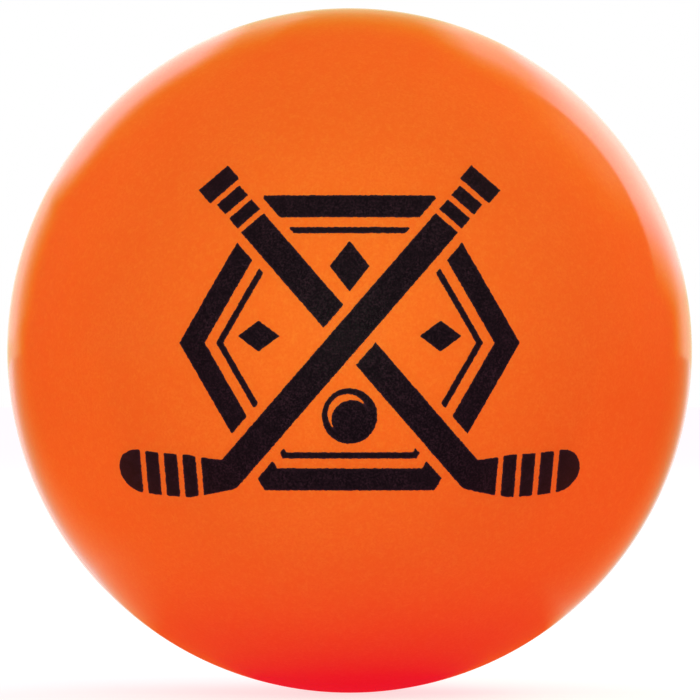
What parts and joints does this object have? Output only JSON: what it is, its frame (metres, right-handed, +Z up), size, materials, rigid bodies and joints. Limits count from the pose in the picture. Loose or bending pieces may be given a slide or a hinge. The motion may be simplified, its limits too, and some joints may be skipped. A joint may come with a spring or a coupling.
{
  "type": "street hockey ball",
  "caption": "Low-bounce hollow ball of flexible PVC with bonded halves, a plugged filling port and a loose liquid charge that damps its bounce.",
  "frame": {"origin": "centre of the ball", "axes": "+Z up, -Y out of the printed face towards the viewer, +X to the viewer's right; the shells are turned about the Y axis"},
  "size_m": [0.065, 0.065, 0.065],
  "materials": {
    "orange_pvc": "satin, fine grain",
    "plug_pvc": "satin",
    "print_ink": "matt black print",
    "adhesive": "clear amber",
    "liquid": "clear liquid"
  },
  "bodies": {
    "ball": {"shell_front": "orange_pvc", "shell_rear": "orange_pvc", "seam_adhesive": "adhesive", "fill_plug": "plug_pvc"},
    "liquid": {"liquid_charge": "liquid"}
  },
  "joints": [
    {"name": "liquid_roll", "type": "hinge", "parent": "ball", "child": "liquid", "pos_m": [0, 0, 0], "axis": [0, 1, 0], "continuous": true}
  ]
}
